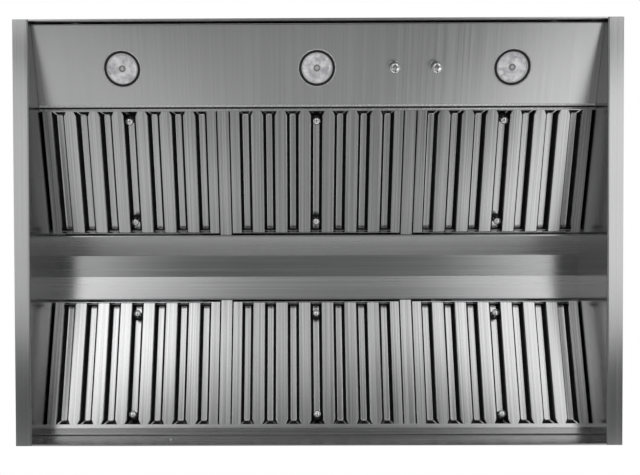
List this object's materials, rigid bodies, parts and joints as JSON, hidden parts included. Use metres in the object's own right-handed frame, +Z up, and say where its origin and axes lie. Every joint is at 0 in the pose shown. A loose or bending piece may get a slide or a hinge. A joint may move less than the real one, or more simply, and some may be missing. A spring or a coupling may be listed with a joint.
{
  "type": "range hood insert",
  "caption": "Wide stainless range hood insert with side flanges, a sloped lamp and control panel, rows of lift-out baffle filters about a centre channel, and a blower box with a round collar.",
  "frame": {"origin": "centre of the open rim, in the plane of the flanges' under faces", "axes": "+X to the right along the width, +Y to the rear wall, +Z up to the duct collar"},
  "size_m": [1.026, 0.72, 0.479],
  "materials": {
    "stainless_sheet": "brushed stainless sheet with fine straight grain",
    "galvanised_sheet": "zinc-coated sheet, faintly spangled",
    "filter_steel": "bright stainless baffles with lengthwise grain",
    "polished_steel": "polished stainless",
    "bright_steel": "bright steel",
    "lamp_metal": "spun aluminium",
    "reflector_metal": "faceted bright reflector",
    "lens_glass": "clear pressed glass",
    "light_source": "pale frosted light source",
    "switch_plastic": "black moulded plastic",
    "motor_paint": "dark grey enamel",
    "capacitor_can": "drawn aluminium can"
  },
  "bodies": {
    "hood": {"side_panel_left": "stainless_sheet", "side_panel_right": "stainless_sheet", "front_panel": "stainless_sheet", "rear_panel": "stainless_sheet", "light_panel": "stainless_sheet", "light_partition": "stainless_sheet", "rear_gutter": "stainless_sheet", "centre_trough": "stainless_sheet", "filter_mullions": "stainless_sheet", "light_panel_brackets": "stainless_sheet", "top_deck": "galvanised_sheet", "blower_box": "galvanised_sheet", "blower_lid": "galvanised_sheet", "discharge_plate": "galvanised_sheet", "scroll_left": "galvanised_sheet", "scroll_right": "galvanised_sheet", "motor_bracket": "galvanised_sheet", "duct_collar": "galvanised_sheet", "wiring_box": "galvanised_sheet", "wiring_box_cover": "galvanised_sheet", "lamp_trims": "polished_steel", "body_screws": "bright_steel", "filter_catches": "bright_steel", "damper_rod": "bright_steel", "lamp_cans": "lamp_metal", "lamp_reflectors": "reflector_metal", "lamp_glasses": "lens_glass", "lamp_leds": "light_source", "fan_switch": "switch_plastic", "light_switch": "switch_plastic", "blower_motor": "motor_paint", "run_capacitor": "capacitor_can"},
    "filter_front_left": {"filter_front_left_frame": "filter_steel", "filter_front_left_baffles": "filter_steel", "filter_front_left_pulls": "polished_steel"},
    "filter_front_middle": {"filter_front_middle_frame": "filter_steel", "filter_front_middle_baffles": "filter_steel", "filter_front_middle_pulls": "polished_steel"},
    "filter_front_right": {"filter_front_right_frame": "filter_steel", "filter_front_right_baffles": "filter_steel", "filter_front_right_pulls": "polished_steel"},
    "filter_rear_left": {"filter_rear_left_frame": "filter_steel", "filter_rear_left_baffles": "filter_steel", "filter_rear_left_pulls": "polished_steel"},
    "filter_rear_middle": {"filter_rear_middle_frame": "filter_steel", "filter_rear_middle_baffles": "filter_steel", "filter_rear_middle_pulls": "polished_steel"},
    "filter_rear_right": {"filter_rear_right_frame": "filter_steel", "filter_rear_right_baffles": "filter_steel", "filter_rear_right_pulls": "polished_steel"},
    "fan_control": {"fan_knob": "polished_steel", "fan_knob_shaft": "bright_steel"},
    "light_control": {"light_knob": "polished_steel", "light_knob_shaft": "bright_steel"},
    "blower_rotor": {"blower_shaft": "bright_steel", "blower_wheel_left": "galvanised_sheet", "blower_wheel_right": "galvanised_sheet"},
    "damper_front": {"damper_flap_front": "galvanised_sheet"},
    "damper_rear": {"damper_flap_rear": "galvanised_sheet"}
  },
  "joints": [
    {"name": "front_left_filter_drop", "type": "hinge", "parent": "hood", "child": "filter_front_left", "pos_m": [-0.33, -0.2145, 0.07555], "axis": [-1, 0, 0], "range_deg": [0, 80]},
    {"name": "front_middle_filter_drop", "type": "hinge", "parent": "hood", "child": "filter_front_middle", "pos_m": [0, -0.2145, 0.07555], "axis": [-1, 0, 0], "range_deg": [0, 80]},
    {"name": "front_right_filter_drop", "type": "hinge", "parent": "hood", "child": "filter_front_right", "pos_m": [0.33, -0.2145, 0.07555], "axis": [-1, 0, 0], "range_deg": [0, 80]},
    {"name": "rear_left_filter_drop", "type": "hinge", "parent": "hood", "child": "filter_rear_left", "pos_m": [-0.33, 0.34, 0.0888], "axis": [1, 0, 0], "range_deg": [0, 80]},
    {"name": "rear_middle_filter_drop", "type": "hinge", "parent": "hood", "child": "filter_rear_middle", "pos_m": [0, 0.34, 0.0888], "axis": [1, 0, 0], "range_deg": [0, 80]},
    {"name": "rear_right_filter_drop", "type": "hinge", "parent": "hood", "child": "filter_rear_right", "pos_m": [0.33, 0.34, 0.0888], "axis": [1, 0, 0], "range_deg": [0, 80]},
    {"name": "fan_knob_turn", "type": "hinge", "parent": "hood", "child": "fan_control", "pos_m": [0.133, -0.286, 0.04396], "axis": [0, 0.3594, -0.9332], "range_deg": [0, 300]},
    {"name": "light_knob_turn", "type": "hinge", "parent": "hood", "child": "light_control", "pos_m": [0.205, -0.286, 0.04396], "axis": [0, 0.3594, -0.9332], "range_deg": [0, 270]},
    {"name": "blower_spin", "type": "hinge", "parent": "hood", "child": "blower_rotor", "pos_m": [0, 0.06275, 0.303], "axis": [1, 0, 0], "continuous": true},
    {"name": "front_damper_swing", "type": "hinge", "parent": "hood", "child": "damper_front", "pos_m": [0, 0.06275, 0.445], "axis": [-1, 0, 0], "range_deg": [0, 80]},
    {"name": "rear_damper_swing", "type": "hinge", "parent": "hood", "child": "damper_rear", "pos_m": [0, 0.06275, 0.445], "axis": [1, 0, 0], "range_deg": [0, 80]}
  ]
}
